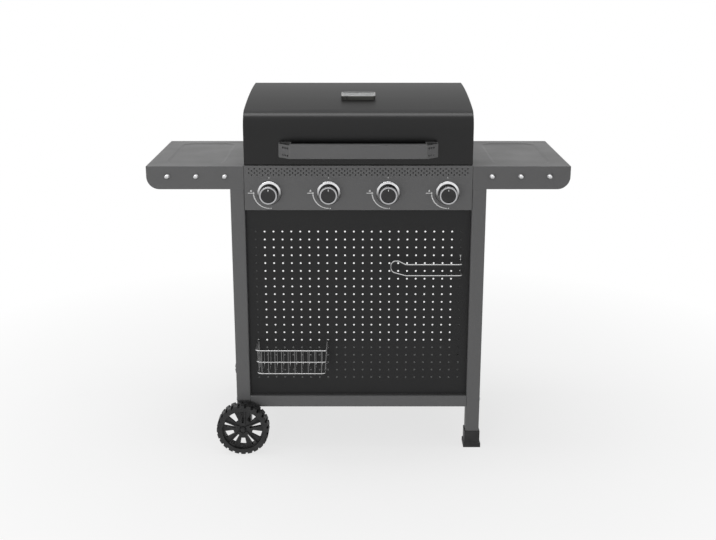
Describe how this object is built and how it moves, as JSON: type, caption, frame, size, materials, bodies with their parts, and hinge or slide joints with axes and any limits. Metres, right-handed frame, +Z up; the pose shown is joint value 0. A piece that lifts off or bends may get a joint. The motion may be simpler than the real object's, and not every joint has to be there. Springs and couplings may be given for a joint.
{
  "type": "gas grill",
  "caption": "Free-standing gas grill on an open wheeled cart with a hinged lid, push-and-turn knobs, folded side shelves and a pegboard front with wire accessories.",
  "frame": {"origin": "middle of the floor area that the grill covers, on the floor", "axes": "+Z up, -Y towards the person at the knobs, +X to that person's right"},
  "size_m": [1.21, 0.5808, 1.059],
  "materials": {
    "graphite_paint": "satin metallic grey powder coat",
    "black_paint": "fine-textured black powder coat",
    "lid_black": "smooth satin black heat-proof coat",
    "firebox_steel": "matt black heat-proof coat",
    "chrome": "bright chrome plate",
    "zinc_steel": "zinc-plated steel",
    "stainless": "plain stainless steel",
    "cast_iron": "seasoned matt cast iron",
    "brass": "plain brass",
    "black_plastic": "moulded black plastic",
    "knob_plastic": "moulded black plastic with a bright rim",
    "bumper_rubber": "heat-proof rubber",
    "ceramic": "glazed ceramic",
    "lens_glass": "flat clear glass",
    "needle_red": "painted pointer"
  },
  "bodies": {
    "cart": {"axle": "zinc_steel", "axle_nuts": "black_plastic", "bottom_shelf": "graphite_paint", "burner_1": "stainless", "burner_2": "stainless", "burner_3": "stainless", "burner_4": "stainless", "condiment_basket": "chrome", "control_panel": "graphite_paint", "feet": "black_plastic", "firebox": "firebox_steel", "firebox_beams": "graphite_paint", "frame_screws": "zinc_steel", "front_rail": "graphite_paint", "gas_inlet": "brass", "gas_valves": "brass", "grate_left": "cast_iron", "grate_right": "cast_iron", "heat_plates": "stainless", "hinge_brackets": "firebox_steel", "hinge_pins": "zinc_steel", "igniter_electrodes": "ceramic", "knob_bezels": "chrome", "left_shelf": "graphite_paint", "leg_front_left": "graphite_paint", "leg_front_right": "graphite_paint", "leg_rear_left": "graphite_paint", "leg_rear_right": "graphite_paint", "manifold": "zinc_steel", "pegboard": "black_paint", "rear_rail": "graphite_paint", "right_shelf": "graphite_paint", "shelf_braces": "graphite_paint", "side_rails": "graphite_paint", "towel_holder": "chrome", "tray_runners": "firebox_steel", "utensil_pegs": "chrome", "warming_rack": "chrome"},
    "lid": {"lid_shell": "lid_black", "lid_ends": "lid_black", "lid_bumpers": "bumper_rubber", "lid_handle": "graphite_paint", "handle_brackets": "graphite_paint", "handle_bolts": "zinc_steel", "lid_hinge_ears": "lid_black", "gauge_housing": "chrome", "gauge_lens": "lens_glass"},
    "thermometer_needle": {"gauge_needle": "needle_red"},
    "front_wheel": {"wheel_front": "black_plastic"},
    "rear_wheel": {"wheel_rear": "black_plastic"},
    "tray": {"grease_tray": "zinc_steel", "grease_cup": "stainless"},
    "valve_stem_1": {"stem_1": "brass"},
    "control_knob_1": {"knob_1": "knob_plastic"},
    "valve_stem_2": {"stem_2": "brass"},
    "control_knob_2": {"knob_2": "knob_plastic"},
    "valve_stem_3": {"stem_3": "brass"},
    "control_knob_3": {"knob_3": "knob_plastic"},
    "valve_stem_4": {"stem_4": "brass"},
    "control_knob_4": {"knob_4": "knob_plastic"}
  },
  "joints": [
    {"name": "lid_hinge", "type": "hinge", "parent": "cart", "child": "lid", "pos_m": [0, 0.23538, 0.884], "axis": [-1, 0, 0], "range_deg": [0, 85]},
    {"name": "thermometer_needle_turn", "type": "hinge", "parent": "lid", "child": "thermometer_needle", "pos_m": [0, -0.05611, 1.0462], "axis": [0, 0.1193, -0.9929], "range_deg": [0, 120], "stiffness_Nm_per_rad": 0.0005},
    {"name": "front_wheel_spin", "type": "hinge", "parent": "cart", "child": "front_wheel", "pos_m": [-0.347, -0.24313, 0.078], "axis": [0, 1, 0], "continuous": true},
    {"name": "rear_wheel_spin", "type": "hinge", "parent": "cart", "child": "rear_wheel", "pos_m": [-0.347, 0.26787, 0.078], "axis": [0, 1, 0], "continuous": true},
    {"name": "grease_tray_slide", "type": "slide", "parent": "cart", "child": "tray", "axis": [0, 1, 0], "range_m": [0, 0.3]},
    {"name": "knob_push_1", "type": "slide", "parent": "cart", "child": "valve_stem_1", "axis": [0, 1, 0], "range_m": [0, 0.003], "stiffness_N_per_m": 1500},
    {"name": "knob_turn_1", "type": "hinge", "parent": "valve_stem_1", "child": "control_knob_1", "pos_m": [-0.255, -0.21063, 0.7935], "axis": [0, -1, 0], "range_deg": [0, 180]},
    {"name": "knob_push_2", "type": "slide", "parent": "cart", "child": "valve_stem_2", "axis": [0, 1, 0], "range_m": [0, 0.003], "stiffness_N_per_m": 1500},
    {"name": "knob_turn_2", "type": "hinge", "parent": "valve_stem_2", "child": "control_knob_2", "pos_m": [-0.085, -0.21063, 0.7935], "axis": [0, -1, 0], "range_deg": [0, 180]},
    {"name": "knob_push_3", "type": "slide", "parent": "cart", "child": "valve_stem_3", "axis": [0, 1, 0], "range_m": [0, 0.003], "stiffness_N_per_m": 1500},
    {"name": "knob_turn_3", "type": "hinge", "parent": "valve_stem_3", "child": "control_knob_3", "pos_m": [0.085, -0.21063, 0.7935], "axis": [0, -1, 0], "range_deg": [0, 180]},
    {"name": "knob_push_4", "type": "slide", "parent": "cart", "child": "valve_stem_4", "axis": [0, 1, 0], "range_m": [0, 0.003], "stiffness_N_per_m": 1500},
    {"name": "knob_turn_4", "type": "hinge", "parent": "valve_stem_4", "child": "control_knob_4", "pos_m": [0.255, -0.21063, 0.7935], "axis": [0, -1, 0], "range_deg": [0, 180]}
  ]
}
